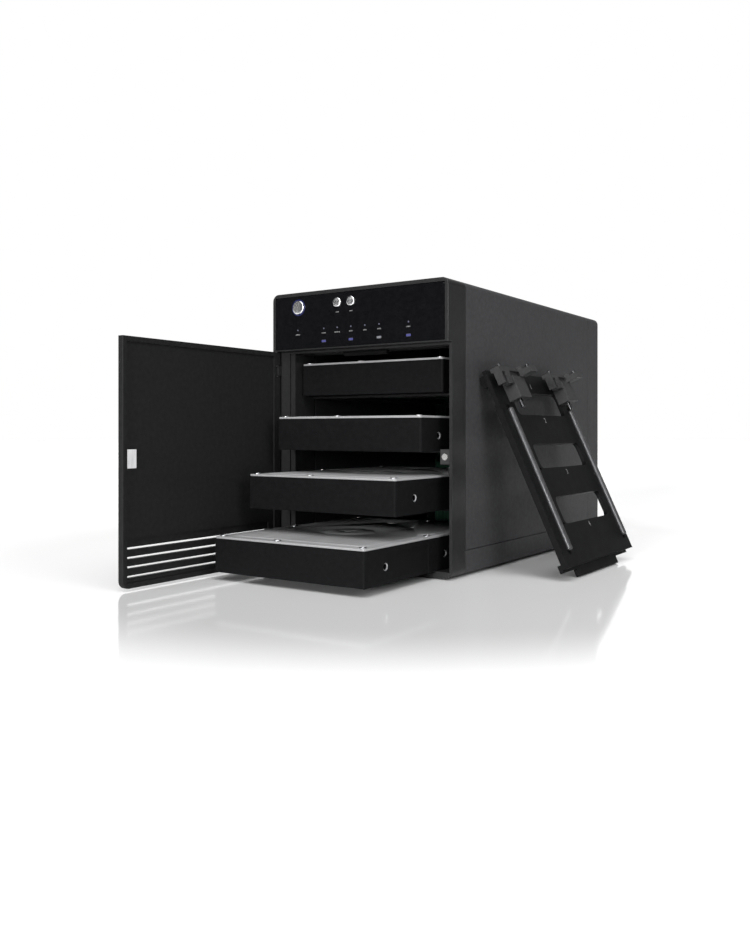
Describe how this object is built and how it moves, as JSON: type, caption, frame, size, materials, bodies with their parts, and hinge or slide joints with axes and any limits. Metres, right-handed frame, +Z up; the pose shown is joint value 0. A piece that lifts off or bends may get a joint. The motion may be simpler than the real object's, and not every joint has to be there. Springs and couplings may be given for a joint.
{
  "type": "nas enclosure",
  "caption": "Desktop drive enclosure with a hinged front door, stacked hard drives drawn out of open bays, a control panel and a lift-out drive retainer leaning on its side.",
  "frame": {"origin": "middle of the case's footprint, on the surface that the feet stand on", "axes": "+Z up; +X to the right seen from the front; +Y from the front to the back, along the drives"},
  "size_m": [0.1816, 0.3553, 0.168],
  "materials": {
    "case_steel": "satin black powder coat",
    "bezel_plastic": "fine-grained black moulding",
    "fascia": "gloss black",
    "lamp": "clear blue-white light pipe",
    "button_metal": "polished",
    "rubber": "matt",
    "zinc_screw": "black zinc",
    "drive_casting": "black painted casting",
    "drive_lid": "satin stainless",
    "lid_screw": "bright",
    "circuit_board": "green solder mask",
    "black_part": "matt black",
    "steel": "bright steel",
    "magnet": "nickel plated",
    "fan_plastic": "matt black",
    "rod": "satin",
    "retainer_plastic": "black moulding",
    "cage_steel": "black"
  },
  "bodies": {
    "case": {"front_bezel": "bezel_plastic", "top_cover": "case_steel", "base_tray": "case_steel", "rear_surround": "case_steel", "rear_plate": "case_steel", "rubber_feet": "rubber", "cover_screws": "zinc_screw", "control_panel": "fascia", "control_board": "circuit_board", "button_switches": "black_part", "light_pipes": "lamp", "retainer_keeper": "retainer_plastic", "cage_wall_left": "cage_steel", "cage_wall_right": "cage_steel", "bay_shelves": "cage_steel", "backplane_board": "circuit_board", "drive_sockets": "black_part", "main_board": "circuit_board", "board_chips": "black_part", "dc_inlet": "black_part", "usb_socket": "steel", "esata_socket": "steel", "door_magnet": "magnet", "magnet_holder": "black_part", "hinge_pins": "steel", "fan_frame": "fan_plastic", "fan_motor_mount": "fan_plastic", "fan_guard": "zinc_screw", "fan_screws": "zinc_screw"},
    "door": {"door_panel": "bezel_plastic", "door_liner": "bezel_plastic", "strike_plate": "steel"},
    "power_button_body": {"power_button": "button_metal"},
    "mode_button_body": {"mode_button": "button_metal"},
    "sync_button_body": {"sync_button": "button_metal"},
    "rotor": {"fan_rotor": "fan_plastic", "fan_blades": "fan_plastic"},
    "drive_1": {"drive_1_body": "drive_casting", "drive_1_lid": "drive_lid", "drive_1_lid_screws": "lid_screw", "drive_1_board": "circuit_board"},
    "drive_2": {"drive_2_body": "drive_casting", "drive_2_lid": "drive_lid", "drive_2_lid_screws": "lid_screw", "drive_2_board": "circuit_board"},
    "drive_3": {"drive_3_body": "drive_casting", "drive_3_lid": "drive_lid", "drive_3_lid_screws": "lid_screw", "drive_3_board": "circuit_board"},
    "drive_4": {"drive_4_body": "drive_casting", "drive_4_lid": "drive_lid", "drive_4_lid_screws": "lid_screw", "drive_4_board": "circuit_board"},
    "retainer": {"retainer_frame": "retainer_plastic", "retainer_rods": "rod", "latch_housings": "retainer_plastic"},
    "front_latch": {"latch_slider_front": "retainer_plastic", "latch_pins_front": "steel"},
    "rear_latch": {"latch_slider_rear": "retainer_plastic", "latch_pins_rear": "steel"}
  },
  "joints": [
    {"name": "door_hinge", "type": "hinge", "parent": "case", "child": "door", "pos_m": [-0.061, -0.1141, 0.067], "axis": [0, 0, -1], "range_deg": [-8, 20]},
    {"name": "drive_1_slide", "type": "slide", "parent": "case", "child": "drive_1", "axis": [0, -1, 0], "range_m": [-0.0136, 0.1134]},
    {"name": "drive_2_slide", "type": "slide", "parent": "case", "child": "drive_2", "axis": [0, -1, 0], "range_m": [-0.0374, 0.0896]},
    {"name": "drive_3_slide", "type": "slide", "parent": "case", "child": "drive_3", "axis": [0, -1, 0], "range_m": [-0.0633, 0.0637]},
    {"name": "drive_4_slide", "type": "slide", "parent": "case", "child": "drive_4", "axis": [0, -1, 0], "range_m": [-0.0916, 0.0354]},
    {"name": "power_press", "type": "slide", "parent": "case", "child": "power_button_body", "axis": [0, 1, 0], "range_m": [0, 0.001], "stiffness_N_per_m": 800, "springref_m": -0.0005},
    {"name": "mode_press", "type": "slide", "parent": "case", "child": "mode_button_body", "axis": [0, 1, 0], "range_m": [0, 0.001], "stiffness_N_per_m": 800, "springref_m": -0.0005},
    {"name": "sync_press", "type": "slide", "parent": "case", "child": "sync_button_body", "axis": [0, 1, 0], "range_m": [0, 0.001], "stiffness_N_per_m": 800, "springref_m": -0.0005},
    {"name": "fan_spin", "type": "hinge", "parent": "case", "child": "rotor", "pos_m": [0, 0.1, 0.112], "axis": [0, 1, 0], "continuous": true},
    {"name": "retainer_lift", "type": "slide", "parent": "case", "child": "retainer", "axis": [0, 0, 1], "range_m": [0, 0.18]},
    {"name": "front_latch_pull", "type": "slide", "parent": "retainer", "child": "front_latch", "axis": [0.4179, 0, -0.9085], "range_m": [0, 0.003], "stiffness_N_per_m": 400, "springref_m": -0.002},
    {"name": "rear_latch_pull", "type": "slide", "parent": "retainer", "child": "rear_latch", "axis": [0.4179, 0, -0.9085], "range_m": [0, 0.003], "stiffness_N_per_m": 400, "springref_m": -0.002}
  ]
}
